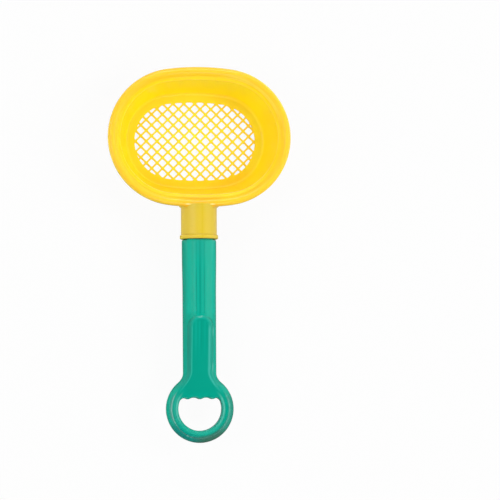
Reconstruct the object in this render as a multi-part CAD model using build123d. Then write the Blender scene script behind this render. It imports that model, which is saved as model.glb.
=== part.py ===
"""Sand sieve: an oval sieve basin with a push-fit socket, and a ring handle.

All dimensions are in millimetres.  +Z points up out of the basin's opening,
the handle runs along -Y and the basin lies towards +Y.  The lowest point of
the object is at z = 0 and its bounding box is centred on x = y = 0.
"""
from build123d import *
from math import atan2, cos, degrees, radians, sin, tan
import os

os.makedirs("parts", exist_ok=True)

HAIR = 0.01              # within this, an edge counts as lying where it was drawn
NEAR = 0.1               # slack when edges are picked by their place

# ---- overall size ------------------------------------------------------
WIDTH = 115.0            # across the oval rim (X)
LENGTH = 235.0           # rim to the far side of the finger ring (Y)
RIM_TOP = 32.0           # height of the rim bead's crest
AXIS_Z = 22.0            # height of the socket and handle axis

# ---- oval: two side arcs and two flat end arcs -------------------------
OVAL_A = WIDTH / 2       # half width
OVAL_B = 43.95           # half height
OVAL_R = 152.0           # radius of the flat arcs
SIDE_R = (OVAL_R**2 - OVAL_A**2 - (OVAL_R - OVAL_B)**2) / (2 * (OVAL_R - OVAL_A))
SIDE_X = OVAL_A - SIDE_R             # centre of a side arc
FLAT_Y = OVAL_R - OVAL_B             # centre of a flat arc
FLAT_HALF = degrees(atan2(SIDE_X, FLAT_Y))   # half angle of a flat arc
HEAD_Y = LENGTH / 2 - OVAL_B         # oval centre
RIM_FRONT = HEAD_Y - OVAL_B          # rim edge on the handle side

# ---- basin section (s runs inwards from the rim edge) ------------------
SHELL = 1.5              # moulded wall
FLOOR = 1.6              # floor plate
BEAD_R = 2.6             # rim bead, outside radius
FLANK = 20.0             # inner flank of the bead, degrees from upright
SKIRT = 2.8              # depth of the skirt under the bead
FLANK_LEN = 0.9          # straight part of the flank
CHANNEL_R = 1.8          # round at the foot of the bead
LEDGE_FALL = 8.0         # fall of the ledge towards the basin, degrees
EDGE_S = 7.8             # top of the wall
EDGE_ROUND = 0.55        # round between ledge and wall
FLOOR_S = 13.3           # foot of the wall
CORNER_R = 1.6           # round at the foot of the wall
CORNER_TURN = 12.0       # lean of the wall where it meets that round, degrees
FLOOR_LAP = 2.0          # width of floor drawn with the wall
HEEL_R = 1.6             # round outside at the foot of the wall
MESH_S = 18.9            # edge of the meshed field

# ---- mesh --------------------------------------------------------------
PITCH = 4.88             # bar to bar, along the bars
BAR = 1.1                # width of a bar
HOLE = PITCH - BAR
HOLE_CUT = 0.45          # cut corner of a hole
MIN_HOLE = 0.9           # smallest clipped hole kept, square millimetres

# ---- socket and handle tube --------------------------------------------
SOCKET_R = 11.25
SOCKET_WALL = 1.6
BORE_R = SOCKET_R - SOCKET_WALL
FIT = 0.05               # radial running clearance of the spigot
LIP_R = 12.0             # bead round the socket's mouth
LIP_W = 2.5
LIP_ROUND = 0.7
SOCKET_Y = 9.8           # mouth of the socket
SOCKET_END = RIM_FRONT + 3.0         # closed end, over the rim bead
SOCKET_NOSE = 2.0        # round of the closed end
CORNER_FILLET = 2.0      # plan round between socket and rim
CORNER_SINK = 0.5        # how far that web is sunk into the socket
SEAT_GAP = 0.3           # lip to handle shoulder
END_GAP = 0.5            # spigot tip to the socket's end wall
SHOULDER_Y = SOCKET_Y - SEAT_GAP
SPIGOT_R = BORE_R - FIT
SPIGOT_END = SOCKET_END - SHELL - END_GAP
TUBE_R0 = 10.8           # at the shoulder
TUBE_R1 = 10.5           # from the waist on
SHOULDER_R = 1.15        # round of the shoulder
TIP_CHAMFER = 0.6
WAIST_Y = -25.0
FLATTEN_Y = -36.0        # the tube starts to flatten here
CORE_R = 7.7             # hollow of the handle
CORE_TIP = 2.6           # its half height at the ring end

# ---- finger ring -------------------------------------------------------
RING_R = 21.25
RING_Y = -LENGTH / 2 + RING_R
RING_FACE = 3.9          # half thickness of the flat
CREST_R = 17.5           # crest line of the ring
CREST_Z = 4.35
CREST_LEAD = 0.1         # slope with which the flat leaves for the crest
RING_FLAT = 16.4         # outer radius of the flat
EYE_R = 13.7             # finger hole
EYE_TOP = 6.9            # scallop tops above the ring centre
SCALLOP = 7.7            # pitch of the finger scallops
SCALLOP_D = 0.9
CUSP_R = 1.3
EYE_CORNER = 2.4
EYE_EDGE = 1.1

# ---- tongue on both faces of the tube ----------------------------------
TONGUE_HALF = 8.1
TONGUE_Y = -37.5         # top of the arch
TONGUE_Z = 11.2          # height above the axis at the arch
TONGUE_EDGE = 3.0
TONGUE_DEPTH = 6.0       # how far the panel is sunk into the tube
TONGUE_LAND = 3.5        # from the scallop tops to the foot of the panel's slope
TONGUE_TAIL = 3.0        # how far the slope runs on past its foot, into the ring
TONGUE_FLARE = 9.0       # round where the tongue widens into the ring
BLADE = 2.5              # half thickness of the blended ring shoulders
BLADE_SINK = 0.1         # how far the blade is sunk into tube and ring
SHOULDER_FILLET = 5.0


def oval(inset):
    """Face of the oval, inset parallel to the rim edge, centred on the origin."""
    r_side, r_flat = SIDE_R - inset, OVAL_R - inset
    turn = radians(FLAT_HALF)
    joint = (r_flat * sin(turn), r_flat * cos(turn) - FLAT_Y)
    x, y = joint
    a, b = OVAL_A - inset, OVAL_B - inset
    outline = [
        ThreePointArc((-x, y), (0, b), (x, y)),
        ThreePointArc((x, y), (a, 0), (x, -y)),
        ThreePointArc((x, -y), (0, -b), (-x, -y)),
        ThreePointArc((-x, -y), (-a, 0), (-x, y)),
    ]
    return make_face(Curve() + outline)


def polar(centre, radius, angle):
    return (centre[0] + radius * cos(radians(angle)),
            centre[1] + radius * sin(radians(angle)))


def arc(centre, radius, start, end):
    return ThreePointArc(polar(centre, radius, start),
                         polar(centre, radius, (start + end) / 2),
                         polar(centre, radius, end))


def rim_section():
    """Outline of the basin's wall as (s, z) curves, s inwards from the rim.

    Returns the curves, the foot and the top of the wall's inner face.
    """
    bead = (BEAD_R, RIM_TOP - BEAD_R)
    down = FLANK - 90
    flank_top = polar(bead, BEAD_R, FLANK)
    flank_foot = polar(flank_top, FLANK_LEN, down)
    channel = polar(flank_foot, CHANNEL_R, FLANK)
    ledge_dir = 270 - LEDGE_FALL
    ledge_in = polar(channel, CHANNEL_R, ledge_dir)
    ledge_s = EDGE_S - EDGE_ROUND
    ledge_z = ledge_in[1] - (ledge_s - ledge_in[0]) * tan(radians(LEDGE_FALL))
    edge_mid = (EDGE_S - EDGE_ROUND / 4, ledge_z - EDGE_ROUND / 3)
    wall_top = (EDGE_S, ledge_z - EDGE_ROUND)
    corner = (FLOOR_S + CORNER_R * cos(radians(CORNER_TURN)), FLOOR + CORNER_R)
    wall_foot = polar(corner, CORNER_R, 180 + CORNER_TURN)
    lap = FLOOR_S + FLOOR_LAP

    cavity_r = BEAD_R - SHELL
    cavity_in = polar(bead, cavity_r, FLANK)
    cavity_foot = polar(cavity_in, FLANK_LEN + CHANNEL_R, down)
    back_top = (wall_top[0] - SHELL, wall_top[1] - SHELL / 2)
    back_foot = (wall_foot[0] - SHELL, HEEL_R)
    heel = (back_foot[0] + HEEL_R, HEEL_R)
    skirt_z = bead[1] - SKIRT

    curves = [
        Line((0, skirt_z), (0, bead[1])),
        arc(bead, BEAD_R, 180, FLANK),
        Line(flank_top, flank_foot),
        arc(channel, CHANNEL_R, 180 + FLANK, ledge_dir),
        Line(ledge_in, (ledge_s, ledge_z)),
        ThreePointArc((ledge_s, ledge_z), edge_mid, wall_top),
        Line(wall_top, wall_foot),
        arc(corner, CORNER_R, 180 + CORNER_TURN, 270),
        Line((corner[0], FLOOR), (lap, FLOOR)),
        Line((lap, FLOOR), (lap, 0)),
        Line((lap, 0), (heel[0], 0)),
        arc(heel, HEEL_R, 270, 180),
        Line(back_foot, back_top),
        Line(back_top, cavity_foot),
        Line(cavity_foot, cavity_in),
        arc(bead, cavity_r, FLANK, 180),
        Line((SHELL, bead[1]), (SHELL, skirt_z)),
        Line((SHELL, skirt_z), (0, skirt_z)),
    ]
    return curves, wall_foot, wall_top


def swept(radius, start, span):
    """The rim section turned about one arc's centre."""
    outline = [mirror(curve, Plane.YZ) for curve in rim_section()[0]]
    upright = Plane.XZ * Pos(radius, 0) * make_face(Curve() + outline)
    return Rot(0, 0, start) * revolve(upright, Axis.Z, revolution_arc=span)


def basin_wall():
    side = 180 - 2 * FLAT_HALF
    wall = Pos(SIDE_X, 0) * swept(SIDE_R, FLAT_HALF - 90, side)
    wall += Pos(0, -FLAT_Y) * swept(OVAL_R, 90 - FLAT_HALF, 2 * FLAT_HALF)
    wall += Pos(-SIDE_X, 0) * swept(SIDE_R, 90 + FLAT_HALF, side)
    wall += Pos(0, FLAT_Y) * swept(OVAL_R, 270 - FLAT_HALF, 2 * FLAT_HALF)
    return wall


def mesh_floor():
    """Floor plate with square holes set on their corners, clipped by the oval."""
    field = oval(MESH_S)
    step = PITCH / 2**0.5
    hole = Rot(0, 0, 45) * chamfer(Rectangle(HOLE, HOLE).vertices(), HOLE_CUT)
    cols = int((OVAL_A - MESH_S) / step) + 1
    rows = int((OVAL_B - MESH_S) / step) + 1
    holes = []
    for i in range(-cols, cols + 1):
        for j in range(-rows, rows + 1):
            if (i + j) % 2 == 0:
                cut = (Pos(i * step, j * step) * hole) & field
                holes += [f for f in cut.faces() if f.area > MIN_HOLE]
    plate = oval(FLOOR_S + FLOOR_LAP / 2).faces()[0]
    plate = plate.make_holes([f.outer_wire() for f in holes])
    return extrude(plate, FLOOR, dir=(0, 0, 1))


def along_y(radius, y0, y1):
    """Cylinder on the Y axis from y0 to y1."""
    return Pos(0, y0) * Rot(-90, 0, 0) * Cylinder(
        radius, y1 - y0, align=(Align.CENTER, Align.CENTER, Align.MIN))


def socket_corner():
    """Small web that rounds the corners between the socket and the rim."""
    bar = Rectangle(2 * SOCKET_R - CORNER_SINK, 2 * OVAL_B)
    plan = bar + Pos(0, OVAL_B) * oval(0)
    inner = [v for v in plan.vertices()
             if abs(abs(v.X) - SOCKET_R) < CORNER_FILLET and abs(v.Y) < CORNER_FILLET]
    plan = fillet(inner, CORNER_FILLET)
    plan &= Rectangle(2 * SOCKET_R + 4 * CORNER_FILLET, 4 * CORNER_FILLET)
    return extrude(Pos(0, RIM_FRONT, RIM_TOP - BEAD_R - SKIRT) * plan, SKIRT)


def sieve_head():
    """Basin, meshed floor and handle socket, moulded in one piece."""
    head = Pos(0, HEAD_Y) * (basin_wall() + mesh_floor())
    _, wall_foot, wall_top = rim_section()

    tube = along_y(SOCKET_R, SOCKET_Y, SOCKET_END)
    tube = fillet(tube.edges().group_by(Axis.Y)[-1], SOCKET_NOSE)
    lip = along_y(LIP_R, SOCKET_Y, SOCKET_Y + LIP_W)
    lip = fillet(lip.edges().filter_by(GeomType.CIRCLE), LIP_ROUND)
    root = along_y(SOCKET_R, SOCKET_END - SOCKET_NOSE, RIM_FRONT + FLOOR_S)
    roof = Box(4 * SOCKET_R, LENGTH, 4 * SOCKET_R,
               align=(Align.CENTER, Align.CENTER, Align.MAX))
    root &= Pos(0, 0, wall_top[1] - SHELL - AXIS_Z) * roof
    socket = Pos(0, 0, AXIS_Z) * (tube + lip + root) + socket_corner()

    draft = degrees(atan2(wall_foot[0] - wall_top[0], wall_top[1] - wall_foot[1]))
    inside = extrude(oval(wall_foot[0] - SHELL / 2), RIM_TOP, taper=-draft)
    head += socket - Pos(0, HEAD_Y, wall_foot[1]) * inside
    bore = along_y(BORE_R, SOCKET_Y - LIP_W, SOCKET_END - SHELL)
    return head - Pos(0, 0, AXIS_Z) * bore


def eye():
    """D-shaped finger hole with four scallops along its straight side."""
    cusp = EYE_TOP - SCALLOP_D
    far = 2 * SCALLOP
    outline = [ThreePointArc((x, cusp), (x + SCALLOP / 2, EYE_TOP), (x + SCALLOP, cusp))
               for x in (-far, -SCALLOP, 0, SCALLOP)]
    outline += [Line((far, cusp), (far, -far)), Line((far, -far), (-far, -far)),
                Line((-far, -far), (-far, cusp))]
    hole = make_face(Curve() + outline) & Circle(EYE_R)
    beyond = 1.25 * SCALLOP              # past the outermost cusps
    ends = [v for v in hole.vertices() if abs(v.X) > beyond]
    hole = fillet(ends, EYE_CORNER)
    cusps = [v for v in hole.vertices()
             if abs(v.Y - cusp) < HAIR and abs(v.X) < beyond]
    return fillet(cusps, CUSP_R)


def eye_plug():
    """The finger hole with its rounded edges, as the solid to take away."""
    disc = extrude(Circle(RING_FLAT - NEAR), RING_FACE)
    plate = disc - extrude(eye(), RING_FACE)
    lip = [e for e in plate.edges() if abs((e @ 0.5).Z - RING_FACE) < HAIR
           and Vector((e @ 0.5).X, (e @ 0.5).Y).length < EYE_R + NEAR]
    plug = disc - fillet(lip, EYE_EDGE)
    return plug + mirror(plug, Plane.XY)


def ring_disc():
    crown = [
        Line((0, 0), (0, RING_FACE)),
        Line((0, RING_FACE), (RING_FLAT, RING_FACE)),
        Spline((RING_FLAT, RING_FACE), (CREST_R, CREST_Z),
               tangents=((1, CREST_LEAD), (1, 0))),
        EllipticalCenterArc((CREST_R, 0), RING_R - CREST_R, CREST_Z,
                            start_angle=0, arc_size=90),
        Line((RING_R, 0), (0, 0)),
    ]
    face = make_face(Curve() + crown)
    half = revolve(Plane.XZ * face, Axis.Z)
    return half + mirror(half, Plane.XY)


def tongue():
    """Raised panel on both faces, sloping down from the arch to the ring."""
    foot_y = RING_Y + EYE_TOP + TONGUE_LAND
    rise = atan2(TONGUE_Z - RING_FACE, TONGUE_Y - foot_y)
    slope = Plane((0, foot_y, RING_FACE), x_dir=(1, 0, 0),
                  z_dir=(0, -sin(rise), cos(rise)))
    arch_y = (TONGUE_Y - foot_y) / cos(rise) - TONGUE_HALF
    ring_y = RING_Y - foot_y
    outline = Pos(0, arch_y) * Circle(TONGUE_HALF)
    outline += Pos(0, (arch_y + ring_y) / 2) * Rectangle(
        2 * TONGUE_HALF, arch_y - ring_y)
    outline += Pos(0, ring_y) * Circle(RING_FLAT)
    flare = [v for v in outline.vertices()
             if abs(abs(v.X) - TONGUE_HALF) < HAIR and v.Y < arch_y - TONGUE_HALF]
    outline = fillet(flare, TONGUE_FLARE)
    outline &= Pos(0, arch_y) * Rectangle(3 * RING_R, 2 * (arch_y + TONGUE_TAIL))
    panel = extrude(slope * outline, -TONGUE_DEPTH)
    top = [e for e in panel.edges()
           if all(abs(slope.to_local_coords(e @ t).Z) < HAIR for t in (0.1, 0.9))
           and slope.to_local_coords(e @ 0.5).Y > NEAR - TONGUE_TAIL]
    panel = fillet(top, TONGUE_EDGE)
    return panel + mirror(panel, Plane.XY)


def flattened(section_r, tip_half, tip_y):
    """Solid from the tube's round section to a flat ellipse at tip_y."""
    return loft([Plane.XZ.offset(-FLATTEN_Y) * Circle(section_r),
                 Plane.XZ.offset(-tip_y) * Ellipse(section_r, tip_half)])


def blade():
    """Thin web that blends the tube's sides into the ring."""
    plan = Pos(0, RING_Y) * Circle(RING_R - BLADE_SINK)
    plan += Pos(0, (FLATTEN_Y + RING_Y) / 2) * Rectangle(
        2 * (TUBE_R1 - BLADE_SINK), FLATTEN_Y - RING_Y)
    inner = [v for v in plan.vertices()
             if RING_Y + RING_R / 2 < v.Y < FLATTEN_Y - RING_R / 2]
    plan = fillet(inner, SHOULDER_FILLET)
    web = extrude(plan, BLADE, both=True)
    rims = [e for e in web.edges() if abs(abs((e @ 0.5).Z) - BLADE) < HAIR
            and (e @ 0.5).Y < FLATTEN_Y - NEAR]
    return fillet(rims, BLADE - BLADE_SINK)


def handle():
    """Spigot, hollow tube and finger ring, moulded in one piece."""
    profile = Polyline(
        (0, FLATTEN_Y), (TUBE_R1, FLATTEN_Y), (TUBE_R1, WAIST_Y),
        (TUBE_R0, 0), (TUBE_R0, SHOULDER_Y), (SPIGOT_R, SHOULDER_Y),
        (SPIGOT_R, SPIGOT_END), (0, SPIGOT_END), (0, FLATTEN_Y))
    body = revolve(make_face(profile), Axis.Y)
    rings = body.edges().filter_by(GeomType.CIRCLE)
    shoulder = [e for e in rings
                if abs(e.radius - TUBE_R0) < HAIR and (e @ 0).Y > SHOULDER_R]
    body = fillet(shoulder, SHOULDER_R)
    rings = body.edges().filter_by(GeomType.CIRCLE)
    tip = [e for e in rings if abs((e @ 0).Y - SPIGOT_END) < HAIR]
    body = chamfer(tip, TIP_CHAMFER)

    flat_y = RING_Y + EYE_TOP + RING_FACE
    body += flattened(TUBE_R1, RING_FACE - BLADE_SINK, flat_y)
    body += Pos(0, RING_Y) * ring_disc()
    body += tongue() + blade()
    body -= Pos(0, RING_Y) * eye_plug()

    core = along_y(CORE_R, FLATTEN_Y, SPIGOT_END + SHELL)
    core += flattened(CORE_R, CORE_TIP, flat_y + 2 * RING_FACE)
    return Pos(0, 0, AXIS_Z) * (body - core)


PIECES = {
    "sieve_head": (sieve_head, Color(0.98, 0.80, 0.08)),
    "handle": (handle, Color(0.05, 0.62, 0.50)),
}

if __name__ == "__main__":
    for name, (make, tint) in PIECES.items():
        piece = make().solid()
        piece.label = name
        piece.color = tint
        export_step(piece, f"parts/{name}.step")
        box = piece.bounding_box()
        print(name, round(piece.volume), "mm3", box.min, box.max)
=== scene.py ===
"""Looks of the sand sieve: an oval yellow basin with a meshed floor and a green ring handle.

The file is laid out as an add-on and run as a script.  Every shape is worked out
in millimetres in the object's own frame, as whole arrays, and put into its mesh
in metres.  +Z points out of the basin and the handle runs along -Y.
"""

import math
from functools import partial, reduce
from types import SimpleNamespace

import bmesh
import bpy
import numpy as np
from mathutils import Matrix, Vector
from mathutils.geometry import delaunay_2d_cdt


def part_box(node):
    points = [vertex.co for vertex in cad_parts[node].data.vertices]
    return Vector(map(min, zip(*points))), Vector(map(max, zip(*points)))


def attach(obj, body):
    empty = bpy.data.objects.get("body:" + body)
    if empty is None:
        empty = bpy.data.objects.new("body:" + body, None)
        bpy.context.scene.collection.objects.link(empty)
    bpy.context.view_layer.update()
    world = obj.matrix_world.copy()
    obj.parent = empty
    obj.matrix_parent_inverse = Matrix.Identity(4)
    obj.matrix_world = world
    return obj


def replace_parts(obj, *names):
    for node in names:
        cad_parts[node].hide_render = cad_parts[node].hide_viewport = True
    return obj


bl_info = {
    "name": "Sand sieve",
    "version": (1, 0, 0),
    "blender": (4, 5, 0),
    "location": "3D View > Sidebar > Sand sieve",
    "description": "Builds a moulded sand sieve with a ring handle and its studio",
    "category": "Object",
}

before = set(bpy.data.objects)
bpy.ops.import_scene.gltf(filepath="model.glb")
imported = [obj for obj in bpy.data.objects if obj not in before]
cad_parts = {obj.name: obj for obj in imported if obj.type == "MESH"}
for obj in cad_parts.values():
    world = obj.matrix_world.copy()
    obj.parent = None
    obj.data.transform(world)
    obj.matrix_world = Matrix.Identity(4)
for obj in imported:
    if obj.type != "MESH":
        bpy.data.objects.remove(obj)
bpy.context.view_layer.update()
MM = 0.001
HEAD_LOW, HEAD_HIGH = (np.array(corner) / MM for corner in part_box("sieve_head"))
GRIP_LOW, GRIP_HIGH = (np.array(corner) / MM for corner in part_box("handle"))
WIDTH = float(HEAD_HIGH[0] - HEAD_LOW[0])
LENGTH = float(HEAD_HIGH[1] - GRIP_LOW[1])


# ---- settings ----

def number(name, text, default, **more):
    """A number, with a unit or a least value where more gives one."""
    return bpy.props.FloatProperty(name=name, description=text, default=default, **more)


def length(name, text, default):
    """A size in metres, given here in millimetres."""
    return number(name, text, default * MM, subtype="DISTANCE", unit="LENGTH", precision=5)


def turning(name, text, default):
    """An angle in radians."""
    return number(name, text, default, subtype="ANGLE", unit="ROTATION")


def watts(name, text, default):
    """Power of a lamp."""
    return number(name, text, default, subtype="POWER", min=0.0)


def hue(name, text, default):
    """A colour as linear red, green and blue."""
    return bpy.props.FloatVectorProperty(name=name, description=text, subtype="COLOR", size=3,
                                         min=0.0, max=1.0, default=default)


class BasinSizes(bpy.types.PropertyGroup):
    """Sizes of the basin, its mesh and its socket."""
    half_length: length("Half depth", "Half of the oval along the handle", 43.95)
    flat_radius: length("Flat radius", "Radius of the oval's two flatter arcs", 152.0)
    rim_top: length("Rim height", "Height of the rim bead's crest", 32.0)
    bead: length("Bead radius", "Outside radius of the rim bead", 2.6)
    shell: length("Wall", "Thickness of the moulded wall", 1.5)
    floor: length("Floor", "Thickness of the floor", 1.6)
    pitch: length("Mesh pitch", "From bar to bar of the mesh", 4.88)
    bar: length("Mesh bar", "Width of a bar of the mesh", 1.1)
    field: length("Mesh edge", "From the rim's edge to the mesh", 18.9)
    axis: length("Socket height", "Height of the socket's axis", 22.0)
    socket: length("Socket radius", "Outside radius of the socket", 11.25)
    lip: length("Lip radius", "Outside radius of the socket's lip", 12.0)
    mouth: length("Socket mouth", "Place of the socket's open end along Y", 9.8)


class HandleSizes(bpy.types.PropertyGroup):
    """Sizes of the handle and its finger ring."""
    shoulder: length("Shoulder", "Place of the shoulder along Y", 9.5)
    spigot: length("Spigot radius", "Radius of the spigot in the socket", 9.6)
    tube_top: length("Tube at the shoulder", "Radius of the tube at the shoulder", 10.8)
    tube: length("Tube", "Radius of the tube from its waist on", 10.5)
    ring: length("Ring radius", "Outside radius of the finger ring", 21.25)
    hole: length("Hole radius", "Radius of the finger hole", 13.7)
    tongue: length("Panel half width", "Half width of the raised panel", 8.1)
    rise: length("Panel height", "Height of the panel at its arch", 11.2)


class SieveColours(bpy.types.PropertyGroup):
    """Colours of the two mouldings."""
    # The basin is one yellow moulding: its rim, wall and floor yellows differ from each other by
    # painted light, shade and sheen, set for how the light falls on each part.
    yellow: hue("Rim yellow", "Colour of the basin's rim", (1.0, 0.565, 0.03))
    deep: hue("Wall yellow", "Deeper yellow of the basin's wall", (1.0, 0.73, 0.005))
    margin: hue("Floor yellow", "Yellow of the floor round the mesh", (1.0, 0.78, 0.035))
    bars: hue("Mesh yellow", "Amber of the thin bars of the mesh", (1.0, 0.68, 0.03))
    socket: hue("Socket yellow", "Yellow where the green spigot shows through",
                (0.72, 0.52, 0.038))
    green: hue("Handle green", "Colour of the handle moulding", (0.001, 0.365, 0.252))


class StudioSettings(bpy.types.PropertyGroup):
    """Camera and lamps."""
    distance: number("Camera distance", "From the object to the camera", 1.5,
                     subtype="DISTANCE", unit="LENGTH", min=0.5)
    pixels_per_metre: number("Scale", "Picture pixels per metre at the object", 1572.6,
                             min=100.0)
    tilt: turning("Tilt", "Turn of the view about the object's X axis", -0.0592390)
    roll_over: turning("Roll over", "Turn of the view about the object's Y axis", 0.1323263)
    spin: turning("Spin", "Turn of the picture", 0.0062388)
    slide_x: length("Slide across", "Object's origin from the picture's middle", -34.8289)
    slide_y: length("Slide up", "Object's origin from the picture's middle", -4.3744)
    left: watts("Left lamp", "Power of the left softbox", 2.8)
    right: watts("Right lamp", "Power of the right softbox", 2.5)
    fill_left: watts("Left fill", "Power of the wide lamp on the left", 8.6)
    fill_right: watts("Right fill", "Power of the wide lamp on the right", 13.0)
    fill_back: watts("Back fill", "Power of the wide lamp beyond the basin", 8.0)
    fill_front: watts("Front fill", "Power of the wide lamp beyond the ring", 9.3)
    strips: watts("Strips", "Power of the two strips that only the gloss shows", 2.2)
    dome: number("Dome", "Strength of the room that the plastic mirrors", 1.0, min=0.0)


# ---- arrays into meshes ----

WELD = 2e-6  # points nearer than this, in metres, become one
SHARP = 35.0  # edges that turn by more than this, in degrees, stay sharp
HALVINGS = 40  # halvings in the search for a crossing


def grid_quads(rows, cols, wrap_rows=False, wrap_cols=False, start=0):
    """Quads of a grid of points laid out row by row; a wrapped side closes on itself."""
    i = np.arange(rows if wrap_rows else rows - 1)[:, None]
    j = np.arange(cols if wrap_cols else cols - 1)[None, :]
    i2, j2 = (i + 1) % rows, (j + 1) % cols
    quads = np.stack([i * cols + j, i2 * cols + j, i2 * cols + j2, i * cols + j2], -1)
    return quads.reshape(-1, 4) + start


def fan(ring, hub):
    """Triangles from each side of a closed ring of point numbers to a hub point."""
    return np.stack([ring, np.roll(ring, -1), np.full(len(ring), hub)], -1)


def stand(name, data):
    """A new object in the scene from its data."""
    obj = bpy.data.objects.new(name, data)
    bpy.context.scene.collection.objects.link(obj)
    return obj


def build(name, points, faces, mat, body):
    """One closed, smooth-shaded piece from points in millimetres and arrays of faces."""
    mesh = bpy.data.meshes.new(name)
    mesh.from_pydata((points * MM).tolist(), [], sum((part.tolist() for part in faces), []))
    bm = bmesh.new()
    bm.from_mesh(mesh)
    bmesh.ops.remove_doubles(bm, verts=bm.verts, dist=WELD)
    bmesh.ops.recalc_face_normals(bm, faces=bm.faces)
    open_edges = sum(not e.is_manifold for e in bm.edges)
    if open_edges:
        raise RuntimeError(f"{name} has {open_edges} open edges")
    if bm.calc_volume(signed=True) < 0:
        bmesh.ops.reverse_faces(bm, faces=bm.faces)
    bm.to_mesh(mesh)
    bm.free()
    mesh.polygons.foreach_set("use_smooth", np.ones(len(mesh.polygons), bool))
    mesh.set_sharp_from_angle(angle=math.radians(SHARP))
    mesh.materials.append(mat)
    obj = stand(name, mesh)
    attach(obj, body)
    return obj


def arc(centre, radius, start, end, count):
    """Points on a circular arc, angles in degrees."""
    turn = np.radians(np.linspace(start, end, count))
    return np.stack([centre[0] + radius * np.cos(turn), centre[1] + radius * np.sin(turn)], 1)


def bend(start, corner, end, count):
    """Rounded corner: points on the parabola that touches both sides of the corner."""
    t = np.linspace(0.0, 1.0, count)[:, None]
    start, corner, end = map(np.array, (start, corner, end))
    return (1 - t) ** 2 * start + 2 * t * (1 - t) * corner + t ** 2 * end


def circle(phi, y, radius, height=0.0, roof=np.inf):
    """Points at angles phi round a line along Y, cut off flat under a roof."""
    z = np.minimum(height + radius * np.sin(phi), roof)
    return np.stack([radius * np.cos(phi), np.full(len(phi), y), z], -1)


def smooth_max(a, b, soft):
    """The larger of two heights, rounded over about soft where they cross."""
    return 0.5 * (a + b + np.sqrt((a - b) ** 2 + soft ** 2))


def smooth_step(value, start, end):
    """0 before start and 1 after end, with a level cubic between them."""
    t = np.clip((value - start) / (end - start), 0.0, 1.0)
    return t * t * (3.0 - 2.0 * t)


def round_union(a, b, radius):
    """Signed distance to two shapes joined, with a fillet of that radius in the corner."""
    u, v = np.maximum(radius - a, 0.0), np.maximum(radius - b, 0.0)
    return np.maximum(radius, np.minimum(a, b)) - np.hypot(u, v)


def rounding(radius, inside):
    """How far a quarter round lies below its top, at a place that far inside its edge."""
    edge = np.clip(radius - inside, 0.0, radius)
    return radius - np.sqrt(radius ** 2 - edge ** 2)


def crossing(distance, low, high):
    """Where a rising function crosses zero between two bounds, by halving, as arrays."""
    for _ in range(HALVINGS):
        middle = 0.5 * (low + high)
        inside = distance(middle) < 0.0
        low, high = np.where(inside, middle, low), np.where(inside, high, middle)
    return 0.5 * (low + high)


# ---- the oval ----

FLAT_STEPS, SIDE_STEPS = 48, 112  # steps along a flatter arc and along a side arc
TINY = 1e-9  # least distance from an arc's centre, so that a division by it holds


class Oval:
    """An oval of two side arcs and two flatter arcs.

    The point for a normal angle and an inset is the arc's centre plus the unit
    normal times the arc's radius less the inset, so every inset is parallel.
    """

    def __init__(self, half_width, half_length, flat_radius):
        self.flat = flat_radius
        away = flat_radius - half_length
        self.side = ((flat_radius ** 2 - half_width ** 2 - away ** 2)
                     / (2.0 * (flat_radius - half_width)))
        self.side_x, self.flat_y = half_width - self.side, away
        self.turn = math.atan2(self.side_x, self.flat_y)

    def normals(self):
        """Normal angles once round, in even steps along each arc."""
        quarter, turn = math.pi / 2, self.turn
        ends = (-quarter + turn, quarter - turn, quarter + turn, 3 * quarter - turn,
                3 * quarter + turn)
        counts = (SIDE_STEPS, FLAT_STEPS) * 2
        return np.concatenate([np.linspace(start, end, count, endpoint=False)
                               for start, end, count in zip(ends, ends[1:], counts)])

    def point(self, angle, inset):
        """Points at normal angles and insets."""
        cos, sin = np.cos(angle), np.sin(angle)
        flat = np.abs(cos) < math.sin(self.turn)
        radius = np.where(flat, self.flat, self.side) - inset
        return (np.where(flat, 0.0, np.sign(cos) * self.side_x) + radius * cos,
                np.where(flat, -np.sign(sin) * self.flat_y, 0.0) + radius * sin)

    def inset(self, x, y):
        """How far inside the edge a point is, and the outward normal there."""
        flat = np.abs(x) < (np.abs(y) + self.flat_y) * math.tan(self.turn)
        dx = x - np.where(flat, 0.0, np.sign(x) * self.side_x)
        dy = y + np.where(flat, np.sign(y) * self.flat_y, 0.0)
        reach = np.maximum(np.hypot(dx, dy), TINY)
        return np.where(flat, self.flat, self.side) - reach, dx / reach, dy / reach


# ---- basin ----

FLANK = 20.0  # inner flank of the bead, degrees from upright
FLANK_LEN = 0.9  # straight part of that flank
SKIRT, SKIRT_ROUND = 2.8, 0.35  # depth below the bead's centre, and its edge's round
CHANNEL = 1.8  # radius of the channel inside the bead
LEDGE_FALL = 8.0  # fall of the ledge towards the basin, degrees
EDGE_S, EDGE_ROUND = 7.8, 0.55  # top of the wall and its round
EDGE_CUT = np.array([0.02, 0.04])  # how far the corner of that round is drawn in
FOOT_S, FOOT_ROUND = 13.3, 1.6  # foot of the wall and its round
FOOT_LEAN = 12.0  # lean of the wall at its foot, degrees
JOIN_S = 16.5  # where the wall's floor margin meets the meshed plate
ARC_POINTS, BEAD_POINTS = 9, 21  # points on a small arc and on the bead's crest
NOSE = 2.0  # round of the socket's closed end
REACH = 3.0  # how far the socket runs in over the rim
FLARE, FLARE_HOLD = 1.3, 0.15  # round between socket and rim, and a short step past it
FLARE_IN, FLARE_OUT = (-0.35, 0.0), (0.66, 0.88)  # heights on a unit circle where it fades
UNDER_LEDGE = 4.0  # from the rim's edge to where the socket is cut off flat
ARCH_SOFT = 0.35  # softness of the arch where the socket lies on the bead
SOCKET_WALL = 1.6  # thickness of the socket's wall
MOUTH_ROUND = 0.5  # round of the socket's bore at its mouth
LIP_WIDTH, LIP_ROUND = 2.5, 0.7  # width of the socket's lip and its round
BEHIND_LIP = 0.5  # end of the small fillet behind the lip
SOCKET_SIDES, SOCKET_ROWS, FLARE_ROWS = 192, 9, 9  # faces round it, rows of tube and flare
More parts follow.
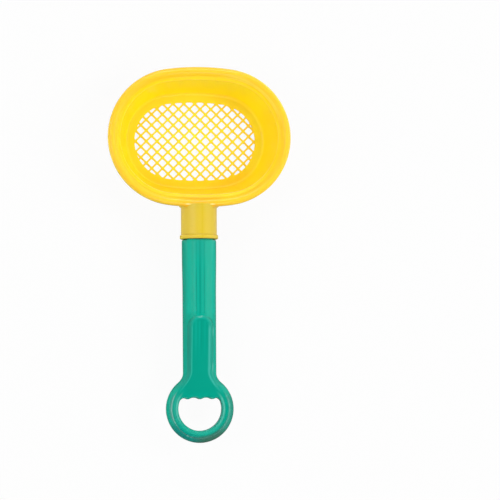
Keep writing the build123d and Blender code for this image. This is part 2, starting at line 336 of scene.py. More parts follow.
SMALLEST_HOLE = 0.9  # holes under this area, in square millimetres, are left out
HOLE_SAMPLES = 25  # sample points along each side of a hole
HOLE_POINTS = 24  # points round a hole
HOLE_POWER = 9.0  # the higher, the tighter a hole's corners
HOLE_ROUND = 0.22  # round along a hole's edges
SLACK = 0.01  # room for rounding in a comparison of heights
NOWHERE = -100.0  # height that stands for no skin
TOUCHING = 1e-6  # points nearer than this are one to the triangulation


def millimetres(group):
    """The sizes of a property group as plain numbers in millimetres."""
    return SimpleNamespace(**{name: getattr(group, name) / MM for name in group.__annotations__})


class BasinForm:
    """Lines that the basin's pieces and their plastic share, worked out from the sizes.

    oval is the rim's outline, middle and front are the places along Y of its middle
    and of its edge at the handle, and section is the wall's closed outline, whose
    first points, upper in number, lie on its upper side.
    """

    def __init__(self, g):
        self.g = g
        self.oval = Oval(WIDTH / 2, g.half_length, g.flat_radius)
        self.middle = LENGTH / 2 - g.half_length
        self.front = self.middle - g.half_length
        self.draw_section()

    def draw_section(self):
        """Closed outline of the basin's wall as (inset, height) points.

        It runs from the floor margin up the inner wall, over ledge, channel and rim
        bead, round the skirt, and back down the outer wall and the heel.
        """
        g = self.g
        bead = np.array([g.bead, g.rim_top - g.bead])
        away = np.array([math.cos(math.radians(FLANK)), math.sin(math.radians(FLANK))])
        down = np.array([away[1], -away[0]])
        channel = bead + (g.bead + CHANNEL) * away + FLANK_LEN * down
        trough = arc(channel, CHANNEL, 270 - LEDGE_FALL, 180 + FLANK, ARC_POINTS)
        middle = (FOOT_S + FOOT_ROUND * math.cos(math.radians(FOOT_LEAN)),
                  g.floor + FOOT_ROUND)
        inner_foot = arc(middle, FOOT_ROUND, 270, 180 + FOOT_LEAN, ARC_POINTS)
        edge_s = EDGE_S - EDGE_ROUND
        slope = math.tan(math.radians(LEDGE_FALL))
        edge = np.array([edge_s, trough[0, 1] - (edge_s - trough[0, 0]) * slope])
        top, foot = np.array([EDGE_S, edge[1] - EDGE_ROUND]), inner_foot[-1]
        rise = np.linspace(0, 1, 6)[1:-1, None]
        upper = np.concatenate([
            [(JOIN_S, g.floor)], inner_foot, foot + rise * (top - foot),
            bend(top, (EDGE_S, edge[1]) - EDGE_CUT, edge, 6), trough,
            arc(bead, g.bead, FLANK, 180, BEAD_POINTS)])
        skirt = bead[1] - SKIRT
        shell, fine = g.shell, SKIRT_ROUND
        inner = bead + (g.bead - shell) * away
        heel = foot[0] - shell
        lower = np.concatenate([
            [(0.0, skirt + 2 * fine)],
            bend((0.0, skirt + fine), (0.0, skirt), (fine, skirt), 4),
            bend((shell - fine, skirt), (shell, skirt), (shell, skirt + fine), 4),
            arc(bead, g.bead - shell, 180, FLANK, ARC_POINTS),
            [inner + (FLANK_LEN + CHANNEL) * down, (top[0] - shell, top[1] - shell / 2)],
            bend((heel, FOOT_ROUND), (heel, 0.0), (heel + FOOT_ROUND, 0.0), 6),
            [(JOIN_S, 0.0)]])
        self.section, self.upper = np.concatenate([upper, lower]), len(upper)
        self.top, self.foot = top, foot

    def socket_height(self, x, y):
        """Height of the socket's skin over a point: a cylinder whose end is rounded off."""
        g, end = self.g, self.front + REACH
        along = np.clip(y - (end - NOSE), 0.0, NOSE)
        radius = g.socket - NOSE + np.sqrt(np.maximum(NOSE ** 2 - along ** 2, 0.0))
        height = g.axis + np.sqrt(np.maximum(radius ** 2 - x ** 2, 0.0))
        return np.where((y < end) & (np.abs(x) < radius), height, NOWHERE)


def mesh_loops(g, oval):
    """Outlines of the floor's holes as polar loops, and each hole's own centre.

    A hole is the meeting of four bar edges and the oval's edge.  Along each ray
    from the hole's centroid the nearest of the five lines sets its reach, taken
    as a power mean of high order so that the corners come out round.
    """
    step = g.pitch / math.sqrt(2.0)
    half = (g.pitch - g.bar) / 2.0
    far_x = int((WIDTH / 2 - g.field) / step) + 1
    far_y = int((g.half_length - g.field) / step) + 1
    i, j = np.meshgrid(np.arange(-far_x, far_x + 1), np.arange(-far_y, far_y + 1))
    chosen = (i + j) % 2 == 0
    middle = np.stack([i[chosen] * step, j[chosen] * step], 1)
    sides = math.sqrt(0.5) * np.array([(1, 1), (-1, 1), (-1, -1), (1, -1)])

    fine = np.linspace(-half, half, HOLE_SAMPLES)
    p, q = (a.ravel() for a in np.meshgrid(fine, fine))
    spots = middle[:, None] + p[None, :, None] * sides[0] + q[None, :, None] * sides[1]
    open_part = oval.inset(spots[..., 0], spots[..., 1])[0] > g.field
    kept = open_part.mean(1) * (2 * half) ** 2 > SMALLEST_HOLE
    spots, open_part, middle = spots[kept], open_part[kept, :, None], middle[kept]
    centre = (spots * open_part).sum(1) / open_part.sum(1)

    turn = np.radians(np.arange(HOLE_POINTS) * 360.0 / HOLE_POINTS)
    ray = np.stack([np.cos(turn), np.sin(turn)], 1)
    lines = half - (centre - middle) @ sides.T
    inset, nx, ny = oval.inset(centre[:, 0], centre[:, 1])
    lines = np.concatenate([lines, (inset - g.field)[:, None]], 1)
    facing = np.concatenate([np.broadcast_to(sides @ ray.T, (len(centre), 4, HOLE_POINTS)),
                             (np.stack([nx, ny], 1) @ ray.T)[:, None]], 1)
    nearness = np.maximum(facing, 0.0) / lines[:, :, None]
    reach = (nearness ** HOLE_POWER).sum(1) ** (-1.0 / HOLE_POWER)
    return centre, ray, reach


def plate(form, rim):
    """Meshed floor plate: two triangulated faces joined by the walls of its holes."""
    g = form.g
    centre, ray, reach = mesh_loops(g, form.oval)
    levels = ((HOLE_ROUND, g.floor), (0.0, g.floor - HOLE_ROUND),
              (0.0, HOLE_ROUND), (HOLE_ROUND, 0.0))
    rings = [np.concatenate([centre[:, None] + (reach + grow)[..., None] * ray,
                             np.full((*reach.shape, 1), z)], -1) for grow, z in levels]
    holes, count = reach.shape
    walls = np.stack(rings, 1)
    point = np.arange(walls[..., 0].size).reshape(holes, len(levels), count)
    after = np.roll(point, -1, 2)
    quads = np.stack([point[:, :-1], point[:, 1:], after[:, 1:], after[:, :-1]], -1)

    flat = np.concatenate([rings[0][..., :2].reshape(-1, 2), rim])
    loop = np.concatenate([np.repeat(np.arange(holes), count), np.full(len(rim), holes)])
    start = np.arange(len(flat))
    follow = start + 1
    follow[count - 1:holes * count:count] -= count
    follow[-1] = holes * count
    cut = delaunay_2d_cdt([Vector(p) for p in flat.tolist()],
                          np.stack([start, follow], 1).tolist(), [], 1, TOUCHING)
    if len(cut[0]) != len(flat):
        raise RuntimeError("the mesh's holes run into each other")
    tris = np.array(cut[2])
    same = (loop[tris] == loop[tris[:, :1]]).all(1) & (loop[tris[:, 0]] < holes)
    tris = tris[~same]
    upper = np.column_stack([flat, np.full(len(flat), g.floor)])
    lower = np.column_stack([flat, np.zeros(len(flat))])
    tris += point.size
    return (np.concatenate([walls.reshape(-1, 3), upper, lower]),
            [quads.reshape(-1, 4), tris, tris[:, ::-1] + len(flat)])


def basin(form, mat):
    """Wall section carried round the oval, with the socket's arch raised on the bead."""
    g, section = form.g, form.section
    x, y = form.oval.point(form.oval.normals()[:, None], section[None, :, 0])
    level = np.broadcast_to(section[:, 1], x.shape)
    arch = form.socket_height(x, y + form.middle)
    on_bead = level > g.rim_top - g.bead - SLACK
    arched = (np.arange(len(section)) < form.upper) & on_bead & (y < 0) & (arch > NOWHERE)
    wall = np.stack([x, y, np.where(arched, smooth_max(level, arch, ARCH_SOFT), level)], -1)
    rows, cols = x.shape
    quads = grid_quads(rows, cols, wrap_rows=True)
    points, faces = plate(form, wall[:, 0, :2])
    points = np.concatenate([wall.reshape(-1, 3), points]) + (0.0, form.middle, 0.0)
    return build("basin", points, [quads] + [f + rows * cols for f in faces], mat,
                 "head")


def socket(form, mat):
    """Socket: a lipped, flared tube, cut off under the ledge and let into the wall.

    Its rings run from the closed end of the bore to the mouth, back along the
    outside to the rim, whose bead the flare follows, and on into the wall.
    """
    g, front, top, foot = form.g, form.front, form.top, form.foot
    axis, mouth, lip, tube = g.axis, g.mouth, g.lip, g.socket
    bore, back = tube - SOCKET_WALL, mouth + LIP_WIDTH
    phi = np.linspace(0, 2 * math.pi, SOCKET_SIDES, endpoint=False)
    end = front + REACH - g.shell
    # bore, mouth, lip, the small fillet behind it and the tube, as (y, radius)
    profile = np.concatenate([
        [(end, bore), (0.5 * (end + mouth), bore), (mouth + 1.2, bore)],
        bend((mouth + MOUTH_ROUND, bore), (mouth, bore), (mouth, bore + MOUTH_ROUND), 5),
        bend((mouth, lip - LIP_ROUND), (mouth, lip), (mouth + LIP_ROUND, lip), 7),
        bend((back - LIP_ROUND, lip), (back, lip), (back + 0.05, tube + 0.25), 6),
        bend((back + 0.05, tube + 0.2), (back + 0.1, tube), (back + BEHIND_LIP, tube), 4)[1:],
        [(y, tube) for y in np.linspace(back + 1.5, front - FLARE - 0.5, SOCKET_ROWS)]])
    rows = [circle(phi, y, radius, axis) for y, radius in profile]

    side = np.sin(phi)
    spread = smooth_step(side, *FLARE_IN) * (1 - smooth_step(side, *FLARE_OUT))
    for turn in np.radians(np.linspace(0, 90, FLARE_ROWS)):
        row = circle(phi, front, tube + FLARE * (1 - math.cos(turn)) * spread, axis)
        over = np.clip(row[:, 2] - (g.rim_top - g.bead), 0.0, g.bead)
        bulge = g.bead - np.sqrt(g.bead ** 2 - over ** 2)
        sag = g.flat_radius - np.sqrt(g.flat_radius ** 2 - row[:, 0] ** 2)
        row[:, 1] += sag + bulge - FLARE * (1 - math.sin(turn))
        rows.append(row)

    roof = top[1] - g.shell
    last = circle(phi, 0.0, tube, axis, roof)
    lean = (foot[0] - top[0]) / (top[1] - foot[1])
    inset = top[0] + (top[1] - last[:, 2]) * lean - g.shell / 2
    away = g.flat_radius - g.half_length
    last[:, 1] = form.middle + away - np.sqrt((g.flat_radius - inset) ** 2
                                              - last[:, 0] ** 2)
    rows += [row + (0.0, FLARE_HOLD, 0.0),
             circle(phi, front + UNDER_LEDGE, tube, axis, roof), last]
    first, size = np.arange(SOCKET_SIDES), len(rows) * SOCKET_SIDES
    faces = [grid_quads(len(rows), SOCKET_SIDES, wrap_cols=True), fan(first[::-1], size),
             fan(first + size - SOCKET_SIDES, size + 1)]
    points = np.concatenate([*rows, [(0.0, end, axis), last.mean(0)]])
    return build("socket", points, faces, mat, "head")


# ---- handle ----

class Grip:
    """Height of the handle's skin above its middle plane, as one function of x and y.

    The outline is a strip and a disc joined with a fillet.  The skin rises from
    the outline as a quarter ellipse whose width and height change from the tube
    to the ring, and the panel and the finger hole's rounded edge are blended in.
    """
    WAIST = -25.0, 2.0  # the tube narrows between these places
    FLATTEN, FLAT_END = -36.0, -85.45  # and flattens between these
    FLAT_HEIGHT = 3.8  # half height that it flattens to
    RINGWARD = -84.0, -64.0  # the tube's skin gives way to the ring's
    STRIP_END, FILLET = 10.0, 3.0  # end of the strip in the ring, and its fillet
    CREST, BAND = 4.1, 5.0  # height and width of the ring's outer round
    FACE = 3.9  # half thickness of the ring's flat
    DROP = 1.6  # width of the fall from crest to flat
    BEAD, BEAD_AT, BEAD_WIDTH = 0.17, 3.1, 0.24  # fine raised line round the ring
    BEAD_FADE = 72.0, 84.0  # where that line fades in along -Y
    PANEL_TOP, PANEL_ROUND = -37.5, 3.0  # top of the panel's arch, and its edge's round
    PANEL_END, PANEL_FLARE = 8.0, 9.0  # end of its strip in the ring, and its flare
    PANEL_RING, PANEL_FOOT = 17.4, 3.5  # radius of its disc, and its foot over the hole
    PANEL_SOFT, PANEL_SINK = 0.15, 0.1  # softness of its edge, and how far it may sink
    SCALLOP, SCALLOP_DEPTH = 7.75, 0.9  # finger scallops of the hole's straight side
    SCALLOP_POWER = 1.7  # the higher, the narrower the teeth between them
    HOLE_TOP, HOLE_CORNER, HOLE_EDGE = 6.9, 2.2, 1.1  # straight side, corners, edge

    def __init__(self, g):
        self.g = g
        self.ring_y = -LENGTH / 2 + g.ring
        self.foot = self.ring_y + self.HOLE_TOP + self.PANEL_FOOT
        self.slope = (g.rise - self.FACE) / (self.PANEL_TOP - self.foot)

    def disc(self, x, y, radius):
        """Signed distance to a disc in the middle of the ring."""
        return np.hypot(x, y - self.ring_y) - radius

    def radius(self, y):
        """Half width of the tube, which narrows a little below its shoulder."""
        g = self.g
        return g.tube + (g.tube_top - g.tube) * smooth_step(y, *self.WAIST)

    def outline(self, x, y):
        """Signed distance to the handle's outline, below zero inside."""
        past = np.maximum(self.ring_y + self.STRIP_END - y, 0.0)
        return round_union(self.disc(x, y, self.g.ring), np.abs(x) - self.radius(y) + past,
                           self.FILLET)

    def panel(self, x, y):
        """Signed distance to the panel's outline: a strip with an arch, and a disc."""
        half = self.g.tongue
        arch = self.PANEL_TOP - half
        strip = np.where(y > arch, np.hypot(x, y - arch), np.abs(x)) - half
        strip = strip + np.maximum(self.ring_y + self.PANEL_END - y, 0.0)
        return round_union(self.disc(x, y, self.PANEL_RING), strip, self.PANEL_FLARE)

    def hole(self, x, y):
        """Signed distance to the finger hole: a disc cut by a wavy line, corners rounded."""
        wave = 0.5 + 0.5 * np.cos(2 * math.pi * x / self.SCALLOP)
        line = self.HOLE_TOP - self.SCALLOP_DEPTH * wave ** self.SCALLOP_POWER
        a, b = self.disc(x, y, self.g.hole), (y - self.ring_y) - line
        u = np.maximum(a + self.HOLE_CORNER, 0.0)
        v = np.maximum(b + self.HOLE_CORNER, 0.0)
        return np.minimum(np.maximum(a, b), -self.HOLE_CORNER) + np.hypot(u, v)

    def height(self, x, y):
        """Height of the skin over a point, zero on the outline."""
        depth = np.maximum(-self.outline(x, y), 0.0)
        part = np.clip((self.FLATTEN - y) / (self.FLATTEN - self.FLAT_END), 0.0, 1.0)
        radius = self.radius(y)
        tube = radius + (self.FLAT_HEIGHT - radius) * part
        ringward = 1.0 - smooth_step(y, *self.RINGWARD)
        width = radius + (self.BAND - radius) * ringward
        rise = tube + (self.CREST - tube) * ringward
        bow = 1.0 - np.minimum(depth / width, 1.0)
        skin = rise * np.sqrt(np.maximum(1.0 - bow ** 2, 0.0))
        skin -= ((self.CREST - self.FACE) * ringward
                 * smooth_step(depth, self.BAND, self.BAND + self.DROP))
        line = np.exp(-((depth - self.BEAD_AT) / self.BEAD_WIDTH) ** 2)
        skin += self.BEAD * line * smooth_step(-y, *self.BEAD_FADE)
        inside = np.maximum(-self.panel(x, y), 0.0)
        plane = self.FACE + (y - self.foot) * self.slope
        plane = np.maximum(plane, self.FACE - self.PANEL_SINK)
        raised = smooth_max(skin, plane - rounding(self.PANEL_ROUND, inside), self.PANEL_SOFT)
        skin = np.where(inside > 0.0, raised, skin)
        return skin - rounding(self.HOLE_EDGE, self.hole(x, y))


CORE, CORE_TIP, CORE_END = 7.7, 2.6, -77.65  # hollow of the handle, and its far end
CORE_NECK, CORE_ROUND = -36.0, 0.3  # where the hollow begins to narrow, and its mouth's round
MID_SPIGOT = 20.0  # a row of points half-way along the spigot
END_IN, END_BACK, END_TIP = 0.6, 0.7, 0.1  # round of the spigot's end, and its tip
CORNER = 0.2  # round between the spigot and the shoulder
SHOULDER_ROUND, SHOULDER_END = 1.3, 8.2  # round of the shoulder, and where it ends along Y
# bounds of the searches for the tube's half width, the ring's edge and the hole's edge
HALF_TUBE, RING_EDGE, HOLE_REACH = (8.0, 16.0), (19.0, 26.0), (2.0, 16.0)
SIDES = 128  # faces across the upper half of the handle's tube
JOIN = -76.0  # seam between the tube's grid and the ring's
TUBE_ROWS = ((7.9, -34.0, 30), (-34.4, -50.0, 66), (-50.8, JOIN, 34))  # start, end, rows
RING_RAYS = 190  # rays of the ring's grid, past the seam
WALL_ROWS = 7  # rows down the wall of the finger hole


def grip(g, mat):
    """Handle from two grids: the tube, row by row along Y, and the ring, ray by ray.

    The tube's rows run from the far end of the hollow to the spigot's end, back
    along the outside over the shoulder and on to the seam.  The ring's rays run
    from the finger hole to the outline or the seam, on both faces.
    """
    form = Grip(g)
    half_turn = np.linspace(0.0, math.pi, SIDES + 1)
    phi = np.concatenate([half_turn, half_turn[1:-1] + math.pi])

    y = np.concatenate([np.linspace(*part) for part in TUBE_ROWS])
    x = crossing(lambda w: form.outline(w, y), *HALF_TUBE)[:, None] * np.cos(phi)
    y = np.broadcast_to(y[:, None], x.shape)
    skin = form.height(x, y) * np.sign(np.sin(phi))
    skin[:, [0, SIDES]] = 0.0
    tube = np.stack([x, y, skin], -1)

    shoulder, top, spigot, end = g.shoulder, g.tube_top, g.spigot, GRIP_HIGH[1]
    # hollow, the spigot's end, the spigot and the shoulder, as (y, radius)
    path = np.concatenate([
        [(CORE_END, 0.3), (CORE_END, CORE_TIP), (CORE_NECK, CORE), (end - CORE_ROUND, CORE)],
        bend((end - CORE_ROUND, CORE), (end, CORE), (end, CORE + CORE_ROUND), 3)[1:],
        bend((end, spigot - END_IN), (end - END_TIP, spigot), (end - END_BACK, spigot), 4),
        [(MID_SPIGOT, spigot), (shoulder + CORNER, spigot)],
        bend((shoulder + CORNER, spigot), (shoulder, spigot), (shoulder, spigot + CORNER), 3)[1:],
        bend((shoulder, top - SHOULDER_ROUND), (shoulder, top), (SHOULDER_END, top), 8)])
    points = np.concatenate([np.stack([circle(phi, *place) for place in path]), tube])
    rows, count = points.shape[:2]
    faces = [grid_quads(rows, count, wrap_cols=True), fan(np.arange(count)[::-1], rows * count)]

    seam = tube[-1, :SIDES + 1]
    up = np.arctan2(JOIN - form.ring_y, seam[:, 0])
    around = np.linspace(up[-1], up[0] + 2 * math.pi, RING_RAYS)[1:-1]
    alpha = np.concatenate([up, around])
    cos, sin = np.cos(alpha), np.sin(alpha)
    outer = crossing(lambda r: form.outline(r * cos, form.ring_y + r * sin), *RING_EDGE)
    outer[:SIDES + 1] = np.hypot(seam[:, 0], JOIN - form.ring_y)
    inner = crossing(lambda r: form.hole(r * cos, form.ring_y + r * sin), *HOLE_REACH)
    # shares of a ray, close together at both ends, where the skin is round
    along = np.concatenate([arc((1.0, 0.0), 1.0, 180, 120, 15)[:, 0],
                            np.linspace(0.52, 0.66, 22),
                            arc((0.0, 0.0), 1.0, 47, 0, 22)[:, 0]])
    reach = inner[:, None] + (outer - inner)[:, None] * along
    x, y = reach * cos[:, None], form.ring_y + reach * sin[:, None]
    upper = np.stack([x, y, form.height(x, y)], -1)
    upper[:SIDES + 1, -1] = seam
    upper[SIDES + 1:, -1, 2] = 0.0
    down = np.array([(1.0, 1.0, share) for share in np.linspace(1.0, -1.0, WALL_ROWS)])
    rays, steps = x.shape
    start = rows * count + 1
    faces += [grid_quads(rays, steps, wrap_rows=True, start=start),
              grid_quads(rays, steps, wrap_rows=True, start=start + rays * steps)[:, ::-1],
              grid_quads(WALL_ROWS, rays, wrap_cols=True, start=start + 2 * rays * steps)]
    parts = (points, np.array([0.0, CORE_END, 0.0]), upper, upper * down[-1],
             upper[:, 0] * down[:, None])
    points = np.concatenate([part.reshape(-1, 3) for part in parts])
    axis = 0.5 * (GRIP_LOW[2] + GRIP_HIGH[2])
    return build("handle_moulding", points + (0.0, 0.0, axis), faces, mat,
                 "handle")


# ---- materials ----

POLYMER_IOR = 1.49
SINK = 0.12 * MM  # depth of the shallow sinks in the plastic
FLECKS = 260.0  # scale of the flecks in its gloss


class Weave:
    """Short way to add nodes to a new material, or to a world's tree, and link them."""

    def __init__(self, name, tree=None):
        kind = "ShaderNodeOutputWorld"
        if tree is None:
            self.mat = bpy.data.materials.new(name)
            self.mat.use_nodes = True
            tree, kind = self.mat.node_tree, "ShaderNodeOutputMaterial"
        self.tree = tree
        tree.nodes.clear()
        self.out = tree.nodes.new(kind)
        self.coords = self.add("TexCoord").outputs
        self.place = self.coords["Object"]

    def link(self, source, target):
        """Join an output to an input, or set the input to a number, vector or colour."""
        if isinstance(source, bpy.types.NodeSocket):
            self.tree.links.new(source, target)
        elif isinstance(source, (int, float)):
            target.default_value = source
        else:
            target.default_value = (*source, 1.0)[:len(target.default_value)]

    def add(self, kind, inputs=(), **settings):
        """A new shader node of a kind, with its inputs by name and its own settings."""
        node = self.tree.nodes.new("ShaderNode" + kind)
        for name, value in settings.items():
            setattr(node, name, value)
        for name, value in dict(inputs).items():
            self.link(value, node.inputs[name])
        return node

    def split(self, vector):
        """X, Y and Z of a vector."""
        return tuple(self.add("SeparateXYZ", {"Vector": vector}).outputs)

    def maths(self, operation, a, b=0.0, c=0.0, clamp=False):
        """One step of arithmetic with up to three numbers."""
        node = self.add("Math", operation=operation, use_clamp=clamp)
        for socket_in, value in zip(node.inputs, (a, b, c)):
            self.link(value, socket_in)
        return node.outputs[0]

    def step(self, value, start, end):
        """0 before start and 1 after end, smooth between; start may be the larger."""
        ends = {"Value": value, "From Min": start, "From Max": end}
        return self.add("MapRange", ends, interpolation_type="SMOOTHSTEP").outputs[0]

    def line(self, value, centre, half):
        """1 where a length is at a centre, falling to 0 at half to either side, in mm."""
        off = self.maths("ABSOLUTE", self.maths("SUBTRACT", value, centre * MM))
        return self.step(off, half * MM, 0.0)

    def span(self, value, start, end):
        """0 before start and 1 after end, in mm; start may be the larger."""
        return self.step(value, start * MM, end * MM)

    def hypot(self, a, b):
        """Root of the sum of two squares."""
        return self.maths("SQRT", self.maths("ADD", self.maths("MULTIPLY", a, a),
                                             self.maths("MULTIPLY", b, b)))

    def beyond(self, value, edge):
        """How far a length lies beyond an edge given in mm, and 0 before it."""
        return self.maths("MAXIMUM", self.maths("SUBTRACT", value, edge * MM), 0.0)

    def product(self, *values):
        """All values multiplied: as masks, where every one of them holds."""
        return reduce(partial(self.maths, "MULTIPLY"), values)

    def most(self, *values):
        """The largest value: as masks, where any one of them holds."""
        return reduce(partial(self.maths, "MAXIMUM"), values)

    def noise(self, scale, detail, stretch=(1.0, 1.0, 1.0)):
        """Cloudy noise in the object's own frame, drawn out along an axis by a low share."""
        shaped = self.add("Mapping", {"Vector": self.place, "Scale": stretch})
        return self.add("TexNoise", {"Vector": shaped.outputs[0], "Scale": scale,
                                     "Detail": detail}).outputs["Fac"]

    def mix(self, share, a, b, kind="RGBA"):
        """a where share is 0 and b where it is 1, for colours, or for kind FLOAT numbers."""
        node = self.add("Mix", data_type=kind)
        live = [put for put in node.inputs if put.enabled]
        for target, value in zip(live, (share, a, b)):
            self.link(value, target)
        return next(out for out in node.outputs if out.enabled)

    def coated(self, colour, coats):
        """Colour under coats laid on in order, each given as its masks and its tint."""
        for *masks, tint in coats:
            colour = self.mix(self.product(*masks), colour, tint)
        return colour

    def stripes(self, mask, value, *rows):
        """Coats of lines within a mask: place and half width in mm, any share, and tint."""
        return [(mask, self.line(value, at, half), *rest) for at, half, *rest in rows]

    def seen_white(self):
        """1 for rays that show a backdrop to the camera, straight or through the plastic."""
        rays = self.add("LightPath").outputs
        return self.maths("MAXIMUM", rays["Is Camera Ray"], rays["Is Transmission Ray"])

    def moulded(self, colour, shade, rough, sink, depth, **inputs):
        """The plastic's shader, from its colour, its shade and gloss, and its shallow sinks."""
        tone = self.add("HueSaturation", {"Color": colour, "Value": shade})
        bump = self.add("Bump", {"Height": sink, "Distance": SINK, "Strength": depth})
        inputs |= {"Base Color": tone.outputs[0], "Roughness": rough,
                   "Normal": bump.outputs[0], "IOR": POLYMER_IOR}
        shader = self.add("BsdfPrincipled", inputs)
        self.link(shader.outputs[0], self.out.inputs["Surface"])
        return self.mat


def basin_plastic(form, colours):
    """Glossy yellow polypropylene, duller and greener where the spigot lies behind it, with
    painted light, shade, highlights and sheen.
    """
    w, g = Weave("basin_plastic"), form.g
    span, line, product, maths = w.span, w.line, w.product, w.maths
    x, y, z = w.split(w.place)
    _, _, turned = w.split(w.coords["Normal"])
    wide = maths("ABSOLUTE", x)
    off_y = maths("SUBTRACT", y, form.middle * MM)
    off = w.hypot(x, maths("SUBTRACT", z, g.axis * MM))
    past = w.beyond(wide, form.oval.side_x)
    inset = maths("SUBTRACT", form.oval.side * MM, w.hypot(past, off_y))
    floor, crest, field, ledge = g.floor, g.rim_top, g.field, form.top[1]
    tube, front, lip_end = g.socket, form.front, g.mouth + LIP_WIDTH

    behind = w.most(product(span(off, tube + 0.55, tube + 0.15),
                            span(y, front + REACH, front + REACH - 1.8)),
                    span(y, lip_end + 0.3, lip_end))
    meshed = product(span(inset, field - 0.7, field + 0.3), span(z, floor + 1.0, floor + 0.3))
    not_meshed = maths("SUBTRACT", 1.0, meshed)
    handle_side, far_side = span(off_y, -12.0, -27.0), span(off_y, 12.0, 27.0)
    low_wall = span(z, floor + 6.0, floor + 1.0)
    flank = product(span(z, ledge + 0.9, ledge + 1.5), span(z, crest - 0.3, crest - 1.2))
    # where a thin painted highlight runs along the ledge's rounded edge
    ledge_highlight = line(z, ledge + EDGE_ROUND / 2, 0.3)
    colour = w.coated(colours.margin, [
        # Bands by height, as painted light and shade: the wall deeper from its foot up, the ledge
        # darker than the wall, the channel lighter than the rim, and the rim's crest darker with
        # a painted sheen.
        (span(z, floor + 0.3, floor + 3.5), colours.deep),
        (span(z, ledge - 0.5, ledge + 0.3), (1.0, 0.645, 0.014)),
        (span(z, ledge + 0.9, ledge + 1.5), (1.0, 0.65, 0.03)),
        (span(z, crest - 1.2, crest - 0.5), colours.yellow),
        (meshed, colours.bars),
        # painted light on the lower walls of the mesh's holes, which lie in shade
        (meshed, span(z, floor - 0.15, floor - 0.45), (1.0, 0.8, 0.14)),
        # Painted shade on the floor margin and low wall on the handle's side and at the far side,
        # and along the left foot of the wall; painted light on the far side's upper wall.
        (handle_side, low_wall, not_meshed, (1.0, 0.655, 0.022)),
        (line(z, floor + 0.5, 0.9), span(x, -22.0, -40.0), 0.8, (1.0, 0.66, 0.02)),
        (far_side, low_wall, not_meshed, (1.0, 0.72, 0.03)),
        (far_side, span(z, floor + 1.0, floor + 5.0), span(z, ledge + 0.5, ledge - 0.5),
         (1.0, 0.8, 0.004)),
        # painted sheen on the bead's inner flank towards the far right
        (span(off_y, 5.0, 20.0), span(x, 8.0, 26.0), flank, (1.0, 0.73, 0.08)),
        # painted highlight along the ledge's edge, paler on the handle's side
        (ledge_highlight, (1.0, 0.69, 0.06)),
        (ledge_highlight, handle_side, (1.0, 0.67, 0.18)),
        # painted shade on the ledge and channel beside the socket
        (span(z, ledge, ledge + 1.5), span(wide, 17.0, 8.0),
         span(y, front + 8.5, front + 5.5), (1.0, 0.515, 0.025)),
        (w.step(turned, 0.0, -0.12), (1.0, 0.64, 0.022)),
        (behind, colours.socket),
        # Painted light and shade across the socket: its right side darker, its far left edge
        # lighter, and a darker line along its crest.
        (behind, span(x, -8.0, 5.0), (0.655, 0.475, 0.035)),
        (behind, span(x, -9.2, -11.0), (0.82, 0.6, 0.04)),
        (behind, line(x, 1.0, 0.9), (0.65, 0.47, 0.018)),
        # painted shade in the crease behind the socket's lip
        (line(y, lip_end + 0.35, 0.45), (0.6, 0.42, 0.02)),
        # two painted glints where the socket's sides meet the rim bead
        (line(wide, 7.6, 2.4), line(y, front + 1.6, 0.7),
         span(z, g.axis + 3.0, g.axis + 5.0), (0.95, 0.78, 0.3)),
    ])
    shade = maths("MULTIPLY_ADD", w.noise(38.0, 2.0), 0.06, 0.97)
    rough = maths("MULTIPLY_ADD", w.noise(FLECKS, 1.0), 0.06, 0.20)
    rough = maths("MULTIPLY_ADD", behind, 0.08, rough)
    return w.moulded(colour, shade, rough, w.noise(60.0, 1.0), 0.3, **{
        "Subsurface Weight": 0.25, "Subsurface Scale": 0.003,
        "Subsurface Radius": (1.0, 0.8, 0.25)})


